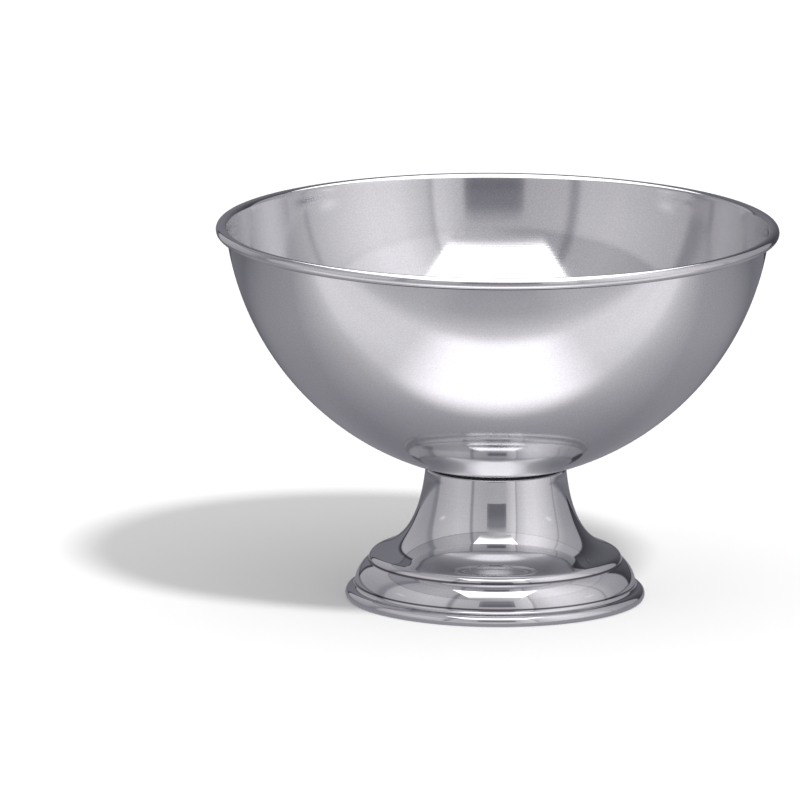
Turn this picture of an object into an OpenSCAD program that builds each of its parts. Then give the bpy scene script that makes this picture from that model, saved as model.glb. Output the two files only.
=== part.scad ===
// Stainless punch bowl on a pedestal. The origin is the middle of the foot, on the table.

/* [Bowl] */
// Overall diameter across the rolled bead of the rim
rim_d = 400; // [300:1:520]
// Diameter of the rolled bead
bead_d = 7.8; // [6:0.2:12]
// Angle that the sheet curls through to make the bead
bead_turn = 313; // [180:1:315]
// Outward lean of the wall where it meets the bead
rim_lean = 6.7; // [2:0.1:14]
// How far behind the axis the arc of the side is centred
side_offset = 7.7; // [2:0.1:20]
// Half-angle of the ball-shaped bottom, inside the arc of the side
bottom_angle = 19.5; // [12:0.5:30]
// Thickness of the sheet that the bowl and the pedestal are spun from
sheet = 0.8; // [0.6:0.1:1.4]

/* [Pedestal] */
// Height of the neck's top edge above the table
lip_h = 94.1; // [75:0.1:140]
// Diameter of the neck under its top edge
neck_d = 100.3; // [80:0.1:130]
// Rounding of the neck's top edge
lip_r = 1.6; // [1.5:0.1:4]
// Widening of the neck just under its top edge, as an angle
neck_draft = 5.8; // [0:0.1:12]
// Slope of the flare where it runs into the shoulder
flare_slope = 28; // [10:1:40]
// Fullness of the flare's straight upper part, as a share of its height
flare_tall = 0.89; // [0.4:0.01:0.95]
// Fullness of the flare's flat lower part, as a share of its width
flare_wide = 0.28; // [0.2:0.01:0.9]

/* [Foot mouldings] */
// Overall diameter of the foot
foot_d = 213.2; // [170:0.2:280]
// Rounding of the shoulder, the top moulding
shoulder_r = 6.9; // [5.5:0.1:12]
// How far the shoulder stands in from the foot's edge
shoulder_set = 16.2; // [15.5:0.1:24]
// Height of the centre of the shoulder's rounding
shoulder_z = 26.4; // [25:0.1:28]
// Rounding of the middle moulding
ovolo_r = 25; // [23:0.1:30]
// How far the middle moulding stands in from the foot's edge
ovolo_set = 6.2; // [5:0.1:7.5]
// Height of the centre of the middle moulding's rounding
ovolo_z = 7.1; // [6:0.1:9]
// Rounding of the top of the foot's rolled hem
hem_top_r = 5.5; // [4:0.1:7]
// Rounding of the underside of the hem
hem_under_r = 2.6; // [2:0.1:5]
// Width of the flat ring that the foot rests on
rest_w = 3; // [2:0.1:5]
// Rounding in the groove over the hem
hem_groove_r = 3.4; // [1:0.1:4]
// Rounding in the groove under the shoulder
shoulder_groove_r = 0.9; // [0.5:0.1:1.5]

/* [Seat and gasket] */
// Thickness of the gasket between the bowl and the pedestal
gasket_t = 0.9; // [0.8:0.1:3]
// Width of the gasket
gasket_w = 11; // [6:0.5:16]
// Radius of the flat in the middle of the pedestal's top
land_r = 14; // [13:0.5:17]
// Radius at which the pedestal's top begins to follow the bowl
dish_r = 20; // [18.5:0.5:26]

/* [Clamp] */
// Diameter of the stud's thread
stud_d = 8; // [6:1:10]
// Length of the stud under its flange
stud_len = 20; // [17:0.5:30]
// Diameter of the stud's welded flange
flange_d = 18; // [14:0.5:24]
// Thickness of the stud's flange
flange_t = 1.6; // [1:0.1:2.5]
// Outer diameter of the flat washer
washer_d = 24; // [18:0.5:26]
// Thickness of the flat washer
washer_t = 2; // [1.2:0.1:2.5]
// Outer diameter of the split spring washer
spring_d = 14.8; // [13:0.1:18]
// Thickness of the spring washer when it is pressed flat
spring_t = 2; // [1.2:0.1:2.5]
// Diameter of the wing nut's bearing face
nut_base_d = 16; // [14:0.5:18]
// Diameter of the wing nut's hub at its free end
nut_end_d = 12.5; // [12:0.5:16]
// Height of the wing nut's hub
nut_h = 8; // [6:0.5:9]
// Distance across both wings
wing_span = 39; // [32:0.5:44]
// Height from the bearing face to the tips of the wings
wing_h = 18.5; // [14:0.5:20]
// Rounding of a wing's tip
wing_tip_r = 5.5; // [4:0.1:6.5]
// Thickness of a wing
wing_t = 2.4; // [1.8:0.1:3]

/* [Clearances] */
// Radial clearance of the wing nut's thread on the stud
thread_gap = 0.05; // [0.02:0.01:0.1]
// Radial clearance of the washers on the stud
washer_gap = 0.2; // [0.15:0.05:0.4]
// Radial clearance of the stud in the pedestal's hole
hole_gap = 0.5; // [0.3:0.1:1]
// Space under the stud's flange, so that the gasket carries the bowl
flange_gap = 0.3; // [0.2:0.1:0.6]

/* [Hidden] */
$fn = 128;

// Largest turn between two points of an outline, on large arcs and on small ones
fine_step = 1.5;
coarse_step = 12;
flare_steps = 14;

// The bowl's inner face: a ball-shaped bottom, then a side of larger radius
bead_r = bead_d / 2;
bead_x = rim_d / 2 - bead_r;
side_r = (bead_x + side_offset) / cos(rim_lean) - bead_r;
bottom_r = side_r - side_offset / sin(bottom_angle);

// The bowl rests on the gasket, which rests on the neck's top edge
seat_r = bottom_r + sheet + gasket_t;
lip_centre = [neck_d / 2 - lip_r, lip_h - lip_r];
ball_centre = [0, lip_centre.y + sqrt((seat_r + lip_r) ^ 2 - lip_centre.x ^ 2)];
side_centre = ball_centre + side_offset * [-1, 1 / tan(bottom_angle)];
bead_centre = [bead_x, side_centre.y - (bead_x + side_offset) * tan(rim_lean)];
seat_end = atan2(lip_centre.y - ball_centre.y, lip_centre.x);

// The clamp, from the bowl downwards
bowl_bottom_z = ball_centre.y - bottom_r - sheet;
flange_z = bowl_bottom_z - flange_t;
land_z = flange_z - flange_gap;
washer_z = land_z - sheet - washer_t;
spring_z = washer_z - spring_t;

// The foot's roundings, and the grooves that touch two of them
foot_r = foot_d / 2;
shoulder_centre = [foot_r - shoulder_set - shoulder_r, shoulder_z];
ovolo_centre = [foot_r - ovolo_set - ovolo_r, ovolo_z];
hem_centre = [foot_r - hem_top_r, hem_under_r];
roll_x = foot_r - hem_under_r;
shoulder_groove = beside(shoulder_centre, shoulder_r, ovolo_centre, ovolo_r, shoulder_groove_r);
hem_groove = beside(ovolo_centre, ovolo_r, hem_centre, hem_top_r, hem_groove_r);

// Direction of the line from a to b, as an angle
function angle_to(a, b) = atan2(b.y - a.y, b.x - a.x);

function unit(v) = v / norm(v);

// A quarter turn clockwise
function right_of(v) = [v.y, -v.x];

// Points along an arc, without its first point unless skip is 0
function arc(centre, r, from, to, step, skip = 1) =
    let (n = ceil(abs(to - from) / step))
    [for (i = [skip:n]) let (a = from + (to - from) * i / n) centre + r * [cos(a), sin(a)]];

// Points along a smooth curve from a to d, pulled towards b and c, without its first point
function curve(a, b, c, d, n) =
    [for (i = [1:n]) let (t = i / n, s = 1 - t) s ^ 3 * a + 3 * s ^ 2 * t * b + 3 * s * t ^ 2 * c + t ^ 3 * d];

// Centre of the groove of radius r that touches two rounded mouldings, a above b
function beside(a, ra, b, rb, r) =
    let (gap = norm(b - a), along = ((ra + r) ^ 2 - (rb + r) ^ 2 + gap ^ 2) / (2 * gap))
    a + along * unit(b - a) - sqrt((ra + r) ^ 2 - along ^ 2) * right_of(unit(b - a));

// The sheet's other face, a sheet's thickness to the right of point i of the first face
function behind(face, i) =
    let (
        k = max(i, 1),
        m = min(i, len(face) - 2),
        before = right_of(unit(face[k] - face[k - 1])),
        after = right_of(unit(face[m + 1] - face[m])),
        mean = unit(before + after)
    )
    face[i].x == 0 ? face[i] - [0, sheet] : face[i] + mean * sheet / (mean * before);

module spun_sheet(face) {
    rotate_extrude() polygon(concat(face, [for (i = [len(face) - 1:-1:0]) behind(face, i)]));
}

// The bowl's inner face, from the middle up to the rim, then round the bead
wall_face = concat(
    arc(ball_centre, bottom_r, -90, bottom_angle - 90, fine_step, skip = 0),
    arc(side_centre, side_r, bottom_angle - 90, -rim_lean, fine_step)
);
bowl_face = concat(
    wall_face,
    arc(bead_centre, bead_r, 180 - rim_lean, 180 - rim_lean - bead_turn, coarse_step)
);

// The pedestal's outer face, from the stud's hole over the lip and down to the curled hem
flare_top = lip_centre + lip_r * [cos(neck_draft), sin(neck_draft)];
flare_end = shoulder_centre + shoulder_r * [sin(flare_slope), cos(flare_slope)];
flare_span = flare_end - flare_top;
seat_face = arc(ball_centre, seat_r, asin(dish_r / seat_r) - 90, seat_end, fine_step, skip = 0);
pedestal_face = concat(
    [[stud_d / 2 + hole_gap, land_z], [land_r, land_z]],
    seat_face,
    arc(lip_centre, lip_r, seat_end + 180, neck_draft, coarse_step),
    curve(
        flare_top,
        flare_top - flare_tall * flare_span.y * [sin(neck_draft), -cos(neck_draft)],
        flare_end - flare_wide * flare_span.x * [cos(flare_slope), -sin(flare_slope)],
        flare_end,
        flare_steps
    ),
    arc(shoulder_centre, shoulder_r, 90 - flare_slope, angle_to(shoulder_centre, shoulder_groove), coarse_step),
    arc(
        shoulder_groove, shoulder_groove_r,
        angle_to(shoulder_groove, shoulder_centre), angle_to(shoulder_groove, ovolo_centre), coarse_step
    ),
    arc(
        ovolo_centre, ovolo_r,
        angle_to(ovolo_centre, shoulder_groove), angle_to(ovolo_centre, hem_groove), coarse_step / 2
    ),
    arc(
        hem_groove, hem_groove_r,
        angle_to(hem_groove, ovolo_centre), angle_to(hem_groove, hem_centre), coarse_step
    ),
    arc(hem_centre, hem_top_r, angle_to(hem_centre, hem_groove), 0, coarse_step),
    arc([roll_x, hem_under_r], hem_under_r, 0, -90, coarse_step),
    arc([roll_x - rest_w, hem_under_r], hem_under_r, -90, -200, coarse_step, skip = 0)
);

module bowl() {
    color("silver") spun_sheet(bowl_face);
}

module pedestal() {
    color("silver") spun_sheet(pedestal_face);
}

// Everything above the bowl's underside, as an outline to cut with
module over_underside() {
    polygon(concat([for (i = [0:len(wall_face) - 1]) behind(bowl_face, i)], [[0, bead_centre.y]]));
}

// Fills the space between the bowl and the pedestal's top, just inside the neck's edge
module seat_gasket() {
    outer = seat_face[len(seat_face) - 1];
    color("black") rotate_extrude() difference() {
        translate([outer.x - gasket_w, land_z]) square([gasket_w, lip_h + gasket_t - land_z]);
        over_underside();
        polygon(concat(seat_face, [[outer.x, 0], [dish_r, 0]]));
    }
}

// Welded under the middle of the bowl, so its flange follows the bowl's underside
module mounting_stud() {
    color("gainsboro") {
        difference() {
            translate([0, 0, flange_z]) cylinder(h = 2 * flange_t, d = flange_d);
            rotate_extrude() over_underside();
        }
        translate([0, 0, flange_z - stud_len]) {
            cylinder(h = stud_d / 8, d1 = stud_d * 3 / 4, d2 = stud_d);
            translate([0, 0, stud_d / 8]) cylinder(h = stud_len - stud_d / 8, d = stud_d);
        }
    }
}

module washer(outer_d, thickness) {
    difference() {
        cylinder(h = thickness, d = outer_d);
        translate([0, 0, -thickness]) cylinder(h = 3 * thickness, r = stud_d / 2 + washer_gap);
    }
}

module flat_washer() {
    color("gainsboro") translate([0, 0, washer_z]) washer(washer_d, washer_t);
}

// The slit lies at a slant through the ring
module spring_washer() {
    slit = [spring_d, spring_t / 2, 4 * spring_t];
    color("gray") translate([0, 0, spring_z]) difference() {
        washer(spring_d, spring_t);
        translate([0, -slit.y / 2, spring_t / 2]) rotate([30, 0, 0]) translate([0, 0, -slit.z / 2]) cube(slit);
    }
}

// One wing, seen from the side, with the hub's axis along Y
module wing_outline() {
    root_x = stud_d * 0.65;
    tip = [wing_span / 2 - wing_tip_r, wing_h - wing_tip_r];
    across = wing_tip_r * [cos(150), sin(150)];
    translate(tip) circle(wing_tip_r);
    polygon([[root_x, 1], [nut_base_d / 2 - 1, 1], tip - across, tip + across, [root_x, nut_h]]);
}

// The wings point down, away from the bearing face
module wing_nut() {
    color("gainsboro") translate([0, 0, spring_z]) mirror([0, 0, 1]) difference() {
        union() {
            cylinder(h = nut_h, d1 = nut_base_d, d2 = nut_end_d);
            for (side = [0, 180]) {
                rotate([90, 0, side]) linear_extrude(wing_t, center = true) wing_outline();
            }
        }
        translate([0, 0, -nut_h]) cylinder(h = 3 * nut_h, r = stud_d / 2 + thread_gap);
    }
}

bowl();
mounting_stud();
seat_gasket();
pedestal();
flat_washer();
spring_washer();
wing_nut();
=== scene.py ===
import math

import bmesh
import bpy
from mathutils import Matrix, Vector
from mathutils.geometry import interpolate_bezier


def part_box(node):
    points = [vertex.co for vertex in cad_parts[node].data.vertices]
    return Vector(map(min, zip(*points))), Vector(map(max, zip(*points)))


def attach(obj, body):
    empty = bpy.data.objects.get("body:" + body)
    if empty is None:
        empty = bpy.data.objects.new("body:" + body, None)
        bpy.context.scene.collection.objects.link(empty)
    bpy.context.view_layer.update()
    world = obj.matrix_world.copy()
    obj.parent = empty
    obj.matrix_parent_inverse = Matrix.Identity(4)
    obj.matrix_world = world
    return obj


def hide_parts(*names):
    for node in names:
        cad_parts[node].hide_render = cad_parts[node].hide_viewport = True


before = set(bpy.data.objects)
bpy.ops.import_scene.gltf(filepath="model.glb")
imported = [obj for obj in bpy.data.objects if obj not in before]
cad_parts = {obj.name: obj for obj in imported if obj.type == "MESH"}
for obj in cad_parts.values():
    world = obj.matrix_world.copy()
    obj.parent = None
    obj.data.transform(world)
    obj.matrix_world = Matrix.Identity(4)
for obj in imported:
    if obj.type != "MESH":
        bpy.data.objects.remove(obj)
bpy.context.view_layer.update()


# Mesh helpers: an outline is drawn in the XZ plane, then spun round Z

mm = 0.001
roundSteps = 256         # facets round a large spun piece


def turned(centre, radius, degrees):
    # the point at an angle on a circle in the XZ plane
    angle = math.radians(degrees)
    return Vector((centre[0] + radius * math.cos(angle), 0, centre[1] + radius * math.sin(angle)))


def sweepArc(bm, start, centre, degrees, steps):
    # carries the outline on round an arc, anticlockwise if degrees is positive
    made = bmesh.ops.spin(bm, geom=[start], cent=(centre[0], 0, centre[1]), axis=(0, -1, 0),
                          angle=math.radians(degrees), steps=steps)
    return next(item for item in made["geom_last"] if isinstance(item, bmesh.types.BMVert))


def lineTo(bm, start, point):
    end = bm.verts.new(point)
    bm.edges.new((start, end))
    return end


def spinRound(bm, steps=roundSteps):
    # turns the outline into a surface, closed at its seam and its pole
    bmesh.ops.spin(bm, geom=bm.verts[:] + bm.edges[:], cent=(0, 0, 0), axis=(0, 0, 1),
                   angle=math.tau, steps=steps, use_merge=True)
    bmesh.ops.remove_doubles(bm, verts=bm.verts, dist=0.004 * mm)


def finishMesh(bm, name, material, sharpDegrees=35):
    for edge in bm.edges:
        edge.smooth = edge.calc_face_angle(0) < math.radians(sharpDegrees)
    for face in bm.faces:
        face.smooth = True
    mesh = bpy.data.meshes.new(name)
    bm.to_mesh(mesh)
    bm.free()
    piece = bpy.data.objects.new(name, mesh)
    bpy.context.scene.collection.objects.link(piece)
    mesh.materials.append(material)
    print("made", name, len(mesh.polygons), "faces")
    return piece


def place(piece, body, node, slot):
    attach(piece, body)
    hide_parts(node)


# Shader helper: arithmetic on sockets

class Wire:
    def __init__(self, tree, socket=None):
        self.tree, self.socket = tree, socket

    def node(self, kind, settings=None, inputs=None, out=0):
        made = self.tree.nodes.new(kind)
        for key, value in (settings or {}).items():
            if key == "stops":
                ramp = made.color_ramp
                while len(ramp.elements) < len(value):
                    ramp.elements.new(0.5)
                for element, (place, level) in zip(ramp.elements, value):
                    element.position = place
                    element.color = (*level, 1) if isinstance(level, tuple) else (level, level, level, 1)
            else:
                setattr(made, key, value)
        for key, value in (inputs or {}).items():
            if isinstance(value, Wire):
                self.tree.links.new(value.socket, made.inputs[key])
            else:
                made.inputs[key].default_value = value
        return Wire(self.tree, made.outputs[out])

    def math(self, operation, *values):
        return self.node("ShaderNodeMath", {"operation": operation}, dict(enumerate(values)))

    def __add__(self, other):
        return self.math("ADD", self, other)

    def __radd__(self, other):
        return self.math("ADD", other, self)

    def __sub__(self, other):
        return self.math("SUBTRACT", self, other)

    def __rsub__(self, other):
        return self.math("SUBTRACT", other, self)

    def __mul__(self, other):
        return self.math("MULTIPLY", self, other)

    def __rmul__(self, other):
        return self.math("MULTIPLY", other, self)

    def __truediv__(self, other):
        return self.math("DIVIDE", self, other)

    def above(self, edge, softness):
        # 0 below the edge, 1 above it, with a smooth step between
        return self.node("ShaderNodeMapRange", {"interpolation_type": "SMOOTHSTEP"},
                         {"Value": self, "From Min": edge - softness, "From Max": edge + softness})

    def within(self, half, softness):
        # 1 between -half and half, with smooth edges
        return 1 - self.math("ABSOLUTE", self).above(half, softness)


def newMaterial(name):
    material = bpy.data.materials.new(name)
    material.use_nodes = True
    material.node_tree.nodes.clear()
    return material, Wire(material.node_tree)


def finishMaterial(material, shader):
    output = material.node_tree.nodes.new("ShaderNodeOutputMaterial")
    material.node_tree.links.new(shader.socket, output.inputs["Surface"])
    return material


def places(wire):
    # the X, Y and Z of the point in the object's own frame, in metres, and its distance from the axis
    where = wire.node("ShaderNodeTexCoord", out="Object")
    split = wire.node("ShaderNodeSeparateXYZ", inputs={0: where})
    x, y, z = (Wire(wire.tree, split.socket.node.outputs[i]) for i in range(3))
    return x, y, z, wire.math("SQRT", x * x + y * y)


# Finishes

steel = dict(
    bowlColour=(0.70, 0.70, 0.715),
    pedestalColour=(0.72, 0.72, 0.735),
    clampColour=(0.60, 0.60, 0.62),
    # colour of the painted shade in tight creases
    creaseShadeColour=(0.12, 0.11, 0.13),
    bowlRoughness=0.085,
    pedestalRoughness=0.04,
    clampRoughness=0.28,
    bowlLines=900.0,         # how close together the lathe's lines lie
    pedestalLines=500.0,
    clampLines=700.0,
    lineDepth=0.01 * mm,
    bowlSpeckle=4.0,         # strength of the fine grain
    pedestalSpeckle=2.0,
    grainScale=1100.0,
    cloudScale=14.0,
    contrast=0.05,           # how far the colour wanders either way
)


def steelMaterial(name, colour, roughness, lineScale, lineDepth, cloud, speckle=0.0, shadedCreases=()):
    # spun sheet: fine lines run round the axis, so the pattern is a noise of radius and height
    material, wire = newMaterial(name)
    x, y, z, r = places(wire)
    across = wire.node("ShaderNodeCombineXYZ", inputs={0: r, 1: z})
    lines = wire.node("ShaderNodeTexNoise", {"noise_dimensions": "2D"},
                      {"Vector": across, "Scale": lineScale, "Detail": 3.0, "Roughness": 0.7})
    where = wire.node("ShaderNodeTexCoord", out="Object")
    clouds = wire.node("ShaderNodeTexNoise", {},
                       {"Vector": where, "Scale": steel["cloudScale"], "Detail": 2.0})
    bump = wire.node("ShaderNodeBump", {}, {"Strength": 1.0, "Distance": lineDepth, "Height": lines})
    mixed = 0.5 * lines + 0.5 * clouds
    rough = roughness * (1 - cloud + 2 * cloud * mixed)
    grain = wire.node("ShaderNodeTexNoise", {},
                      {"Vector": where, "Scale": steel["grainScale"], "Detail": 1.0})
    darker = [(1 - steel["contrast"]) * level for level in colour]
    paler = [(1 + steel["contrast"]) * level for level in colour]
    tint = wire.node("ShaderNodeMix", {"data_type": "RGBA"}, {
        "Factor": mixed + speckle * (grain - 0.5), "A": (*darker, 1), "B": (*paler, 1)}, out="Result")
    for radius, height, half in shadedCreases:     # painted shade: dark lines where the sheet is folded tight, standing in for the shadow inside each crease
        creaseShade = (r - radius).within(half, 0.1 * mm) * (z - height).within(half, 0.4 * mm)
        tint = wire.node("ShaderNodeMix", {"data_type": "RGBA"}, {
            "Factor": creaseShade, "A": tint, "B": (*steel["creaseShadeColour"], 1)}, out="Result")
    shader = wire.node("ShaderNodeBsdfPrincipled", {}, {
        "Base Color": tint, "Metallic": 1.0, "Roughness": rough, "Normal": bump})
    return finishMaterial(material, shader)


def rubberMaterial():
    material, wire = newMaterial("gasketRubber")
    where = wire.node("ShaderNodeTexCoord", out="Object")
    grain = wire.node("ShaderNodeTexNoise", {}, {"Vector": where, "Scale": 900.0, "Detail": 2.0})
    bump = wire.node("ShaderNodeBump", {}, {"Strength": 0.4, "Distance": 0.00005, "Height": grain})
    tint = wire.node("ShaderNodeMix", {"data_type": "RGBA"}, {
        "Factor": grain, "A": (0.008, 0.008, 0.009, 1), "B": (0.025, 0.025, 0.027, 1)}, out="Result")
    shader = wire.node("ShaderNodeBsdfPrincipled", {}, {
        "Base Color": tint, "Roughness": 0.6 + 0.2 * grain, "Normal": bump})
    return finishMaterial(material, shader)


hardwareSteel = steelMaterial("hardwareSteel", steel["clampColour"], steel["clampRoughness"],
                              steel["clampLines"], steel["lineDepth"], 0.3)
gasketRubber = rubberMaterial()
print("finishes made")


# Bowl: one sheet, ball-shaped bottom, fuller side, edge curled outwards into a bead

rimBox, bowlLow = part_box("bowl")[1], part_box("bowl")[0]
bowl = dict(
    rimRadius=(rimBox.x - bowlLow.x) / 2,
    top=rimBox.z,
    beadRadius=3.9 * mm,
    beadTurn=313,
    rimLean=6.7,
    sideOffset=7.7 * mm,
    bottomAngle=19.5,
    sheet=0.8 * mm,
)


def bowlOutline():
    # radii and centres of the inner face, from the rim's size
    lean, corner = math.radians(bowl["rimLean"]), math.radians(bowl["bottomAngle"])
    beadX = bowl["rimRadius"] - bowl["beadRadius"]
    beadZ = bowl["top"] - bowl["beadRadius"]
    sideRadius = (beadX + bowl["sideOffset"]) / math.cos(lean) - bowl["beadRadius"]
    sideZ = beadZ + (beadX + bowl["sideOffset"]) * math.tan(lean)
    bottomRadius = sideRadius - bowl["sideOffset"] / math.sin(corner)
    bottomZ = sideZ - bowl["sideOffset"] / math.tan(corner)
    return (beadX, beadZ), (-bowl["sideOffset"], sideZ), (0, bottomZ), bottomRadius


bead, side, ball, ballRadius = bowlOutline()


def makeBowl():
    bm = bmesh.new()
    start = bm.verts.new((0, 0, ball[1] - ballRadius))
    corner = sweepArc(bm, start, ball, bowl["bottomAngle"], 14)
    rim = sweepArc(bm, corner, side, 90 - bowl["bottomAngle"] - bowl["rimLean"], 44)
    sweepArc(bm, rim, bead, -bowl["beadTurn"], 36)
    spinRound(bm)
    bmesh.ops.recalc_face_normals(bm, faces=bm.faces)
    bottomFace = min(bm.faces, key=lambda face: face.calc_center_median().z)
    if bottomFace.normal.z < 0:
        bmesh.ops.reverse_faces(bm, faces=bm.faces)
    bmesh.ops.solidify(bm, geom=bm.faces[:], thickness=bowl["sheet"])
    # painted shade: a dark line in the crease just under the bead
    shadeUnderBead = (bead[0] - 3 * mm, bead[1] - 4.4 * mm, 1 * mm)
    satin = steelMaterial("bowlSteel", steel["bowlColour"], steel["bowlRoughness"], steel["bowlLines"],
                          steel["lineDepth"], 0.25, speckle=steel["bowlSpeckle"], shadedCreases=[shadeUnderBead])
    place(finishMesh(bm, "spunBowl", satin), "bowl_on_pedestal", "bowl", "satin_steel")


makeBowl()


# Pedestal: one sheet from the stud's hole over the neck's lip and down to the curled hem

footLow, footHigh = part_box("pedestal")
pedestal = dict(
    footRadius=(footHigh.x - footLow.x) / 2,
    lipZ=footHigh.z,
    neckRadius=50.15 * mm,
    lipRound=1.6 * mm,
    neckDraft=5.8,
    flareSlope=28,
    flareTall=0.89,
    flareWide=0.28,
    shoulderRound=6.9 * mm,
    shoulderSet=16.2 * mm,
    shoulderZ=26.4 * mm,
    ovoloRound=25 * mm,
    ovoloSet=6.2 * mm,
    ovoloZ=7.1 * mm,
    hemTop=5.5 * mm,
    hemUnder=2.6 * mm,
    restWidth=3 * mm,
    hemGroove=3.4 * mm,
    shoulderGroove=0.9 * mm,
    holeRadius=4.5 * mm,
    landRadius=14 * mm,
    dishRadius=20 * mm,
    flangeGap=1.9 * mm,      # from the bowl's underside down to the flat round the hole
    gasket=0.9 * mm,
    sheet=0.8 * mm,
)


def groovePlace(upper, upperRound, lower, lowerRound, groove):
    # centre of the groove that touches two rounded mouldings on their outer side
    gap = lower - upper
    reachUpper, reachLower = upperRound + groove, lowerRound + groove
    along = (reachUpper ** 2 - reachLower ** 2 + gap.length_squared) / (2 * gap.length)
    way = gap.normalized()
    return upper + along * way + math.sqrt(reachUpper ** 2 - along ** 2) * Vector((-way.y, way.x))


def angleTo(a, b):
    return math.degrees(math.atan2(b[1] - a[1], b[0] - a[0]))


def sweepTo(bm, start, centre, fromDegrees, toDegrees, steps):
    return sweepArc(bm, start, centre, toDegrees - fromDegrees, steps)


def makePedestal():
    p = pedestal
    seatRadius = ballRadius + bowl["sheet"] + p["gasket"]
    lip = Vector((p["neckRadius"] - p["lipRound"], p["lipZ"] - p["lipRound"]))
    shoulder = Vector((p["footRadius"] - p["shoulderSet"] - p["shoulderRound"], p["shoulderZ"]))
    ovolo = Vector((p["footRadius"] - p["ovoloSet"] - p["ovoloRound"], p["ovoloZ"]))
    hem = Vector((p["footRadius"] - p["hemTop"], p["hemUnder"]))
    upperGroove = groovePlace(shoulder, p["shoulderRound"], ovolo, p["ovoloRound"], p["shoulderGroove"])
    lowerGroove = groovePlace(ovolo, p["ovoloRound"], hem, p["hemTop"], p["hemGroove"])
    landZ = ball[1] - ballRadius - bowl["sheet"] - p["flangeGap"]
    seatEnd = angleTo(ball, lip)
    seatStart = math.degrees(math.asin(p["dishRadius"] / seatRadius)) - 90

    bm = bmesh.new()
    at = bm.verts.new((p["holeRadius"], 0, landZ))
    at = lineTo(bm, at, (p["landRadius"], 0, landZ))
    at = lineTo(bm, at, turned(ball, seatRadius, seatStart))
    at = sweepTo(bm, at, ball, seatStart, seatEnd, 8)
    at = sweepTo(bm, at, lip, seatEnd + 180, p["neckDraft"], 14)

    draft, slope = math.radians(p["neckDraft"]), math.radians(p["flareSlope"])
    top, bottom = at.co.copy(), turned(shoulder, p["shoulderRound"], 90 - p["flareSlope"])
    span = bottom - top
    pullTop = top - p["flareTall"] * span.z * Vector((math.sin(draft), 0, -math.cos(draft)))
    pullBottom = bottom - p["flareWide"] * span.x * Vector((math.cos(slope), 0, -math.sin(slope)))
    for point in interpolate_bezier(top, pullTop, pullBottom, bottom, 41)[1:]:
        at = lineTo(bm, at, point)

    at = sweepTo(bm, at, shoulder, 90 - p["flareSlope"], angleTo(shoulder, upperGroove), 12)
    at = sweepTo(bm, at, upperGroove, angleTo(upperGroove, shoulder), angleTo(upperGroove, ovolo), 6)
    at = sweepTo(bm, at, ovolo, angleTo(ovolo, upperGroove), angleTo(ovolo, lowerGroove), 16)
    at = sweepTo(bm, at, lowerGroove, angleTo(lowerGroove, ovolo), angleTo(lowerGroove, hem), 10)
    at = sweepTo(bm, at, hem, angleTo(hem, lowerGroove), 0, 12)
    roll = Vector((p["footRadius"] - p["hemUnder"], p["hemUnder"]))
    at = sweepTo(bm, at, roll, 0, -90, 10)
    inner = roll - Vector((p["restWidth"], 0))
    at = lineTo(bm, at, (inner.x, 0, 0))
    sweepTo(bm, at, inner, -90, -200, 12)

    spinRound(bm)
    bmesh.ops.recalc_face_normals(bm, faces=bm.faces)
    topFace = min(bm.faces, key=lambda face: abs(face.calc_center_median().z - landZ))
    if topFace.normal.z < 0:
        bmesh.ops.reverse_faces(bm, faces=bm.faces)
    bmesh.ops.solidify(bm, geom=bm.faces[:], thickness=p["sheet"])
    # painted shade: dark lines in the two grooves of the foot
    upperFoldShade = (upperGroove.x - p["shoulderGroove"], upperGroove.y, 0.7 * mm)
    lowerFoldShade = (lowerGroove.x - p["hemGroove"], lowerGroove.y, 0.6 * mm)
    polished = steelMaterial("pedestalSteel", steel["pedestalColour"], steel["pedestalRoughness"],
                             steel["pedestalLines"], steel["lineDepth"] / 2, 0.3,
                             speckle=steel["pedestalSpeckle"], shadedCreases=[upperFoldShade, lowerFoldShade])
    place(finishMesh(bm, "spunPedestal", polished), "bowl_on_pedestal", "pedestal", "polished_steel")


makePedestal()


# Gasket: a rubber ring between the bowl and the pedestal's top, with a rounded edge

gasket = dict(
    width=11 * mm,
    edgeSteps=10,
)


def makeGasket():
    thick = pedestal["gasket"]
    inner = ballRadius + bowl["sheet"]
    lip = (pedestal["neckRadius"] - pedestal["lipRound"], pedestal["lipZ"] - pedestal["lipRound"])
    outerEnd = angleTo(ball, lip)
    width = math.degrees(gasket["width"] / inner)
    edge = turned(ball, inner + thick / 2, outerEnd)
    bm = bmesh.new()
    start = bm.verts.new(turned(ball, inner, outerEnd - width))
    at = sweepArc(bm, start, ball, width, 12)
    at = sweepArc(bm, at, (edge.x, edge.z), -180, gasket["edgeSteps"])
    at = sweepArc(bm, at, ball, -width, 12)
    bm.edges.new((at, start))
    spinRound(bm)
    bmesh.ops.recalc_face_normals(bm, faces=bm.faces)
    place(finishMesh(bm, "ringGasket", gasketRubber), "bowl_on_pedestal", "seat_gasket", "gasket_rubber")


makeGasket()


# Clamp: threaded stud, flat washer, split spring washer and wing nut, from the bowl downwards

clamp = dict(
    threadRadius=4 * mm,
    threadRoot=3.35 * mm,
    pitch=1.25 * mm,
    chamfer=1 * mm,
    flangeRadius=9 * mm,
    flangeThick=1.6 * mm,
    flangeEdge=0.3 * mm,
    weld=0.5 * mm,           # the bead of weld round the flange
    washerRadius=12 * mm,
    springRadius=7.4 * mm,
    boreRadius=4.2 * mm,     # of both washers
    slit=12,                 # gap of the spring washer, in degrees
    slant=30,
    nutBore=4.05 * mm,
    hubTop=8 * mm,           # radius at the bearing face
    hubEnd=6.25 * mm,
    hubTall=8 * mm,
    wingTip=(14 * mm, 13 * mm),
    tipRound=5.5 * mm,
    wingThick=2.4 * mm,
    washerEdge=0.25 * mm,    # roundings of the edges
    springEdge=0.2 * mm,
    nutEdge=0.7 * mm,
)


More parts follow.
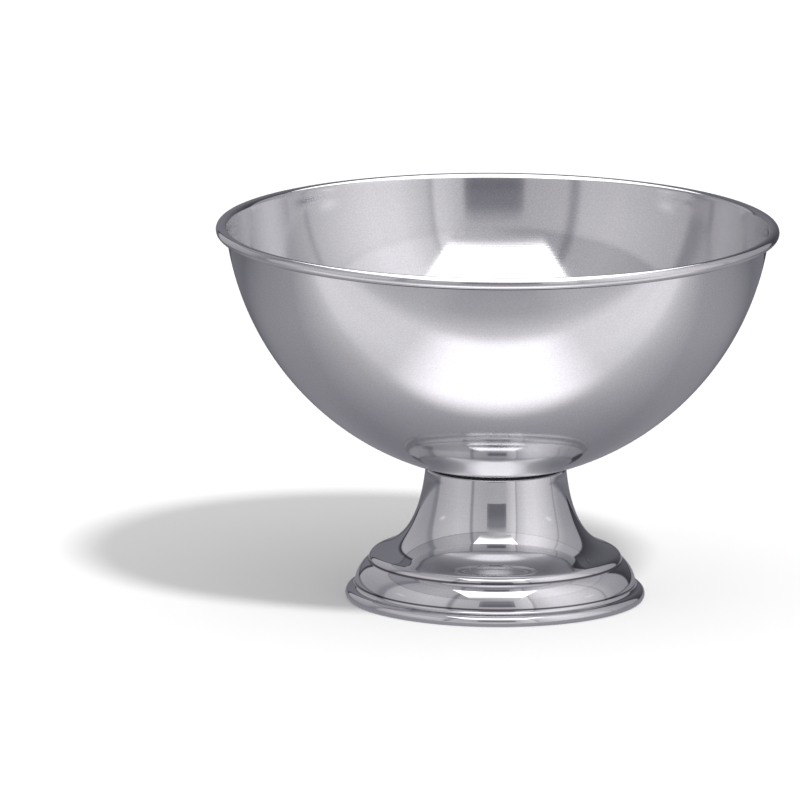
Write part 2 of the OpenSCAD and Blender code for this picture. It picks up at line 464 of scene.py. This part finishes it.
def bevelSharp(bm, width, segments, degrees=50):
    sharp = [edge for edge in bm.edges if edge.calc_face_angle(0) > math.radians(degrees)]
    bmesh.ops.bevel(bm, geom=sharp, offset=width, offset_type="OFFSET", segments=segments, profile=0.5,
                    affect="EDGES", material=-1, clamp_overlap=True)


def outline(bm, points):
    verts = [bm.verts.new(point) for point in points]
    for first, second in zip(verts, verts[1:] + verts[:1]):
        bm.edges.new((first, second))
    return verts


def addThread(bm, low, high):
    # a zigzag of whole turns, swept up by one pitch in one turn, then cut level at both ends
    pitch, root, crest = clamp["pitch"], clamp["threadRoot"], clamp["threadRadius"]
    turns, steps = int((high - low) / pitch) + 3, 48
    at = bm.verts.new((root, 0, low - 2 * pitch))
    for turn in range(turns):
        base = low - 2 * pitch + turn * pitch
        for radius, share in ((root, 0.12), (crest, 0.44), (crest, 0.56), (root, 0.88), (root, 1.0)):
            at = lineTo(bm, at, (radius, 0, base + share * pitch))
    bmesh.ops.spin(bm, geom=bm.verts[:] + bm.edges[:], cent=(0, 0, 0), axis=(0, 0, 1),
                   dvec=(0, 0, pitch / steps), angle=math.tau, steps=steps)
    bmesh.ops.remove_doubles(bm, verts=bm.verts, dist=0.002 * mm)
    for height, up in ((low, -1), (high, 1)):
        whole = bm.verts[:] + bm.edges[:] + bm.faces[:]
        cut = bmesh.ops.bisect_plane(bm, geom=whole, plane_co=(0, 0, height), plane_no=(0, 0, up),
                                     clear_outer=True)["geom_cut"]
        rim = [item for item in cut if isinstance(item, bmesh.types.BMEdge)]
        bmesh.ops.edgeloop_fill(bm, edges=rim)
    for vert in bm.verts:
        reach = crest - clamp["chamfer"] + (vert.co.z - low)
        radius = math.hypot(vert.co.x, vert.co.y)
        if radius > reach:
            vert.co.x *= reach / radius
            vert.co.y *= reach / radius


def makeStud():
    under = ballRadius + bowl["sheet"]
    flangeZ = ball[1] - under - clamp["flangeThick"]
    bm = bmesh.new()
    addThread(bm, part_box("mounting_stud")[0].z, flangeZ + 0.2 * mm)
    thread = set(bm.verts)
    rimAngle = -90 + math.degrees(math.asin(clamp["flangeRadius"] / under))
    at = bm.verts.new((0, 0, flangeZ))
    at = lineTo(bm, at, (clamp["flangeRadius"] - clamp["flangeEdge"], 0, flangeZ))
    at = lineTo(bm, at, (clamp["flangeRadius"], 0, flangeZ + clamp["flangeEdge"]))
    at = lineTo(bm, at, turned(ball, under + clamp["weld"], rimAngle))
    at = lineTo(bm, at, turned(ball, under, rimAngle))
    sweepArc(bm, at, ball, -90 - rimAngle, 10)
    flange = [vert for vert in bm.verts if vert not in thread]
    edges = [edge for edge in bm.edges if edge.verts[0] not in thread]
    bmesh.ops.spin(bm, geom=flange + edges, cent=(0, 0, 0), axis=(0, 0, 1), angle=math.tau, steps=64,
                   use_merge=True)
    bmesh.ops.remove_doubles(bm, verts=bm.verts, dist=0.002 * mm)
    bmesh.ops.recalc_face_normals(bm, faces=bm.faces)
    piece = finishMesh(bm, "threadedStud", hardwareSteel)
    place(piece, "bowl_on_pedestal", "mounting_stud", "hardware_steel")


def makeFlatWasher():
    low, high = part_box("flat_washer")
    inner, outer = clamp["boreRadius"], clamp["washerRadius"]
    bm = bmesh.new()
    outline(bm, [(inner, 0, low.z), (outer, 0, low.z), (outer, 0, high.z), (inner, 0, high.z)])
    spinRound(bm, 96)
    bmesh.ops.recalc_face_normals(bm, faces=bm.faces)
    bevelSharp(bm, clamp["washerEdge"], 3)
    place(finishMesh(bm, "roundWasher", hardwareSteel), "washers", "flat_washer", "hardware_steel")


def makeSpringWasher():
    low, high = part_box("spring_washer")
    inner, outer = clamp["boreRadius"], clamp["springRadius"]
    middle, half = (low.z + high.z) / 2, math.radians(clamp["slit"] / 2)
    bm = bmesh.new()
    section = outline(bm, [(inner, 0, low.z), (outer, 0, low.z), (outer, 0, high.z), (inner, 0, high.z)])
    bmesh.ops.contextual_create(bm, geom=section)
    bmesh.ops.rotate(bm, verts=bm.verts, cent=(0, 0, 0), matrix=Matrix.Rotation(half, 3, "Z"))
    bmesh.ops.spin(bm, geom=bm.verts[:] + bm.edges[:] + bm.faces[:], cent=(0, 0, 0), axis=(0, 0, 1),
                   angle=math.tau - 2 * half, steps=72)
    bmesh.ops.remove_doubles(bm, verts=bm.verts, dist=0.002 * mm)
    bmesh.ops.recalc_face_normals(bm, faces=bm.faces)
    slope = math.tan(math.radians(clamp["slant"])) / ((inner + outer) / 2)
    for vert in bm.verts:
        vert.co = Matrix.Rotation((middle - vert.co.z) * slope, 3, "Z") @ vert.co
    bevelSharp(bm, clamp["springEdge"], 2)
    place(finishMesh(bm, "splitWasher", hardwareSteel), "washers", "spring_washer", "hardware_steel")


def addWing(bm, topZ, turn):
    tipX, tipZ = clamp["wingTip"][0], topZ - clamp["wingTip"][1]
    foot = 1.3 * clamp["threadRadius"]      # where the wing starts, inside the hub
    before = set(bm.verts)
    start = bm.verts.new((foot, 0, topZ - 1 * mm))
    at = lineTo(bm, start, (clamp["hubTop"] - 1 * mm, 0, topZ - 1 * mm))
    at = lineTo(bm, at, turned((tipX, tipZ), clamp["tipRound"], 30))
    at = sweepArc(bm, at, (tipX, tipZ), -180, 20)
    at = lineTo(bm, at, (foot, 0, topZ - clamp["hubTall"]))
    bm.edges.new((at, start))
    ring = [vert for vert in bm.verts if vert not in before]
    plate = bmesh.ops.contextual_create(bm, geom=ring)["faces"]
    raised = bmesh.ops.extrude_face_region(bm, geom=plate, use_keep_orig=True)["geom"]
    moved = [item for item in raised if isinstance(item, bmesh.types.BMVert)]
    bmesh.ops.translate(bm, verts=moved, vec=(0, clamp["wingThick"], 0))
    made = [vert for vert in bm.verts if vert not in before]
    bmesh.ops.translate(bm, verts=made, vec=(0, -clamp["wingThick"] / 2, 0))
    bmesh.ops.rotate(bm, verts=made, cent=(0, 0, 0), matrix=Matrix.Rotation(math.radians(turn), 3, "Z"))


def makeWingNut():
    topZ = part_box("wing_nut")[1].z
    endZ = topZ - clamp["hubTall"]
    bm = bmesh.new()
    outline(bm, [(clamp["nutBore"], 0, topZ), (clamp["hubTop"], 0, topZ),
                 (clamp["hubEnd"], 0, endZ), (clamp["nutBore"], 0, endZ)])
    spinRound(bm, 96)
    addWing(bm, topZ, 0)
    addWing(bm, topZ, 180)
    bmesh.ops.recalc_face_normals(bm, faces=bm.faces)
    bevelSharp(bm, clamp["nutEdge"], 4)
    place(finishMesh(bm, "castWingNut", hardwareSteel), "nut", "wing_nut", "hardware_steel")


makeStud()
makeFlatWasher()
makeSpringWasher()
makeWingNut()


# Studio: pale floor, soft key and sky for the floor, and a light tent that only the metal reflects

studio = dict(
    floorSize=60,
    floorColour=(0.9, 0.9, 0.9),
    skyLevel=0.74,
    keyLevel=1.8,            # brightness of the key light, a soft sun
    keySize=7.5,             # how wide it looks, in degrees
    keyTurn=32,              # how far right of the camera it stands
    keyHeight=55,
)

tent = dict(
    wallRadius=1.10,
    height=0.77,
    panel=(0.37, -0.90, 0.45),      # half width, front edge and back edge of the white panel overhead
    panelLevel=2.2,
    panelEdge=0.55,          # how bright the panel is at its soft front edge
    window=(0.44, 0.40),     # width and height of the dark window in front
    windowPlace=(0.022, -0.86, 0.425),
    patch=(0.15, -0.263, 0.100),    # half width, middle and half depth of the lit patch on the floor
    patchLevel=1.5,
    glintTurn=84,            # where the small lights stand at either side, and how high
    glintHeight=0.355,
    glintLevel=0.35,
)


def addStage(name, build, material):
    bm = bmesh.new()
    build(bm)
    mesh = bpy.data.meshes.new(name)
    bm.to_mesh(mesh)
    bm.free()
    mesh.materials.append(material)
    piece = bpy.data.objects.new(name, mesh)
    bpy.context.scene.collection.objects.link(piece)
    return piece


def onlyReflected(piece):
    piece.visible_camera = piece.visible_diffuse = piece.visible_shadow = False
    piece.visible_transmission = piece.visible_volume_scatter = False
    return piece


def glow(name, level):
    # level makes the colour of the light that the card gives off
    material, wire = newMaterial(name)
    light = wire.node("ShaderNodeEmission", {}, {"Color": level(wire), "Strength": 1.0})
    return finishMaterial(material, light)


def ramp(wire, value, low, high, stops):
    # reads a level off a ramp whose stops are given in the value's own units
    share = wire.node("ShaderNodeMapRange", {}, {"Value": value, "From Min": low, "From Max": high})
    shares = [((at - low) / (high - low), level) for at, level in stops]
    coloured = wire.node("ShaderNodeValToRGB", {"stops": shares}, {"Fac": share})
    return wire.node("ShaderNodeRGBToBW", inputs={0: coloured})


def tinted(wire, level, dark=(0.97, 0.96, 1.11), light=(1.0, 0.98, 1.015), turning=0.55):
    # dim parts of the tent are bluish, bright ones are plain
    share = wire.node("ShaderNodeMapRange", {}, {"Value": level, "From Min": 0.15, "From Max": turning})
    tint = wire.node("ShaderNodeMix", {"data_type": "RGBA"}, {
        "Factor": share, "A": (*dark, 1), "B": (*light, 1)}, out="Result")
    return wire.node("ShaderNodeVectorMath", {"operation": "SCALE"}, {0: tint, "Scale": level})


def floorGlow(wire):
    x, y, z, r = places(wire)
    depth = ramp(wire, y, -1.0, 0.8, [
        (-1.0, 0.40), (-0.65, 0.53), (-0.5, 0.58), (-0.43, 0.66), (-0.36, 0.92), (-0.25, 0.94),
        (-0.18, 0.80), (-0.15, 0.62), (-0.11, 0.50), (-0.05, 0.41), (0.02, 0.33), (0.3, 0.27), (0.6, 0.16)])
    side = 0.95 + 0.09 * x.above(0.0, 0.45)
    gloom = 1 - 0.15 * x.within(0.20, 0.10) * (1 - y.above(-0.46, 0.05))
    shade = 0.78 + 0.22 * r.above(0.19, 0.08)
    flank = 1 + 0.24 * x.math("ABSOLUTE", x).above(0.33, 0.13) * y.above(-0.2, 0.1)
    halfWidth, middle, halfDepth = tent["patch"]
    patch = x.within(halfWidth, 0.07) * (y - middle).within(halfDepth, 0.03)
    level = depth * side * gloom * shade * flank * (1 - patch) + tent["patchLevel"] * patch
    return tinted(wire, level)


def turnOf(x, y):
    # direction seen from the axis, in degrees: 0 in front, 90 at the right
    return x.math("ARCTAN2", x, 0 - y) * (180 / math.pi)


def aroundLevel(wire, turn):
    # brightness of the tent's side, with its seams and its dark back
    return ramp(wire, turn, -180, 180, [
        (-180, 0.20), (-152.5, 0.22), (-151, 0.06), (-149, 0.06), (-147.5, 0.48), (-112, 0.42),
        (-106, 0.32), (-101, 0.32), (-97, 0.52), (-58, 0.68), (-40, 0.64), (-37.5, 0.36), (-35.5, 0.36),
        (-33, 0.58), (-14, 0.52), (14, 0.55), (24, 0.76), (29.5, 0.82), (31, 0.45), (33, 0.68), (48, 0.92),
        (62, 0.94), (78, 0.80), (96.5, 0.60), (97.5, 0.40), (99, 0.40), (100, 0.56), (112, 0.44),
        (137, 0.38), (138.5, 0.06), (140.5, 0.06), (180, 0.20)])


def wallGlow(wire):
    # paler towards the top, dark along the floor, with one small light at each side
    x, y, z, r = places(wire)
    turn = turnOf(x, y)
    height = (0.92 + 0.14 * z.above(0.3, 0.35)) * (0.5 + 0.5 * z.above(0.035, 0.02))
    sideways = turn.math("ABSOLUTE", turn) - tent["glintTurn"]
    glint = sideways.within(4, 4) * (z - tent["glintHeight"]).within(0.015, 0.03)
    return tinted(wire, aroundLevel(wire, turn) * height + tent["glintLevel"] * glint)


def roofGlow(wire):
    # follows the side, paler to the right, with a soft seam where the two meet
    x, y, z, r = places(wire)
    across = 0.82 + 0.34 * x.above(-0.05, 0.35)
    seam = 1 - 0.25 * (r - tent["wallRadius"] + 0.02).within(0.02, 0.02)
    return tinted(wire, aroundLevel(wire, turnOf(x, y)) * across * seam)


def panelGlow(wire):
    x, y, z, r = places(wire)
    rise = tent["panelLevel"] - tent["panelEdge"]
    return tinted(wire, tent["panelEdge"] + rise * y.above(-0.755, 0.11))


def windowGlow(wire):
    x, y, z, r = places(wire)
    edges = 1 - (x - tent["windowPlace"][0]).within(0.19, 0.04)
    level = 0.19 + 0.08 * z.above(0.38, 0.08) + 0.22 * z.above(0.55, 0.07) + 0.08 * edges
    return tinted(wire, level)


def makeStudio():
    def floorSheet(bm):
        bmesh.ops.create_grid(bm, x_segments=1, y_segments=1, size=studio["floorSize"] / 2)

    material, wire = newMaterial("paleFloor")
    where = wire.node("ShaderNodeTexCoord", out="Object")
    mottle = wire.node("ShaderNodeTexNoise", {}, {"Vector": where, "Scale": 3.0})
    tint = wire.node("ShaderNodeMix", {"data_type": "RGBA"}, {
        "Factor": mottle, "A": (*studio["floorColour"], 1), "B": (0.905, 0.905, 0.905, 1)}, out="Result")
    matt = wire.node("ShaderNodeBsdfDiffuse", {}, {"Color": tint, "Roughness": 0.0})
    under = wire.node("ShaderNodeNewGeometry", out="Backfacing")     # seen through from below
    clear = wire.node("ShaderNodeBsdfTransparent")
    finishMaterial(material, wire.node("ShaderNodeMixShader", {}, {0: under, 1: matt, 2: clear}))
    floor = addStage("floor", floorSheet, material)
    floor.visible_glossy = False

    world = bpy.data.worlds.new("sky")
    bpy.context.scene.world = world
    world.use_nodes = True
    background = world.node_tree.nodes["Background"]
    background.inputs["Color"].default_value = (1, 1, 1, 1)
    background.inputs["Strength"].default_value = studio["skyLevel"]

    key = bpy.data.lights.new("keyLight", "SUN")
    key.energy, key.angle = studio["keyLevel"], math.radians(studio["keySize"])
    lamp = bpy.data.objects.new("keyLight", key)
    lamp.rotation_euler = (math.radians(90 - studio["keyHeight"]), 0, math.radians(studio["keyTurn"]))
    lamp.visible_glossy = False
    bpy.context.scene.collection.objects.link(lamp)


def makeTent():
    radius, height = tent["wallRadius"], tent["height"]
    half, front, back = tent["panel"]

    def tentFloor(bm):
        bmesh.ops.create_circle(bm, cap_ends=True, segments=64, radius=2 * radius)
        bmesh.ops.translate(bm, verts=bm.verts, vec=(0, 0, -0.001))

    def tentWall(bm):
        bmesh.ops.create_circle(bm, segments=128, radius=radius)
        sides = bmesh.ops.extrude_edge_only(bm, edges=bm.edges)["geom"]
        raised = [item for item in sides if isinstance(item, bmesh.types.BMVert)]
        bmesh.ops.translate(bm, verts=raised, vec=(0, 0, height))

    def tentRoof(bm):
        bmesh.ops.create_circle(bm, cap_ends=True, segments=64, radius=radius)
        bmesh.ops.translate(bm, verts=bm.verts, vec=(0, 0, height))

    def lightPanel(bm):
        bmesh.ops.create_grid(bm, x_segments=1, y_segments=1, size=0.5)
        bmesh.ops.scale(bm, verts=bm.verts, vec=(2 * half, back - front, 1))
        bmesh.ops.translate(bm, verts=bm.verts, vec=(0, (front + back) / 2, height - 0.01))

    def frontWindow(bm):
        bmesh.ops.create_grid(bm, x_segments=1, y_segments=1, size=0.5)
        bmesh.ops.scale(bm, verts=bm.verts, vec=(*tent["window"], 1))
        bmesh.ops.rotate(bm, verts=bm.verts, matrix=Matrix.Rotation(math.pi / 2, 3, "X"))
        bmesh.ops.translate(bm, verts=bm.verts, vec=tent["windowPlace"])

    onlyReflected(addStage("tentFloor", tentFloor, glow("tentFloorGlow", floorGlow)))
    onlyReflected(addStage("tentSide", tentWall, glow("tentSideGlow", wallGlow)))
    onlyReflected(addStage("tentRoof", tentRoof, glow("tentRoofGlow", roofGlow)))
    onlyReflected(addStage("tentPanel", lightPanel, glow("tentPanelGlow", panelGlow)))
    onlyReflected(addStage("tentWindow", frontWindow, glow("tentWindowGlow", windowGlow)))


makeStudio()
makeTent()
print("studio made")


# Camera: long lens, so that the view is nearly parallel

camera = dict(
    elevation=11.58,
    distance=12.0,
    frameWidth=0.5674,
    roll=0.35,
    rightOf=-0.0685,         # how far the middle of the view lies from the rim's centre, sideways
    above=-0.1209,           # and upwards in the view
)


def makeCamera():
    data = bpy.data.cameras.new("camera")
    data.lens = data.sensor_width * camera["distance"] / camera["frameWidth"]
    data.clip_end = 100
    eye = bpy.data.objects.new("camera", data)
    bpy.context.scene.collection.objects.link(eye)
    bpy.context.scene.camera = eye
    lift = math.radians(camera["elevation"])
    back = Vector((0, -math.cos(lift), math.sin(lift)))
    up = Vector((0, math.sin(lift), math.cos(lift)))
    middle = Vector((camera["rightOf"], 0, bead[1])) + camera["above"] * up
    eye.location = middle + camera["distance"] * back
    eye.rotation_euler = (math.radians(90) - lift, 0, 0)
    eye.rotation_euler.rotate_axis("Z", math.radians(camera["roll"]))


makeCamera()
bpy.context.scene.view_settings.view_transform = "Standard"
bpy.context.scene.cycles.glossy_bounces = 12     # light runs a long way round inside the bowl
print("camera made")
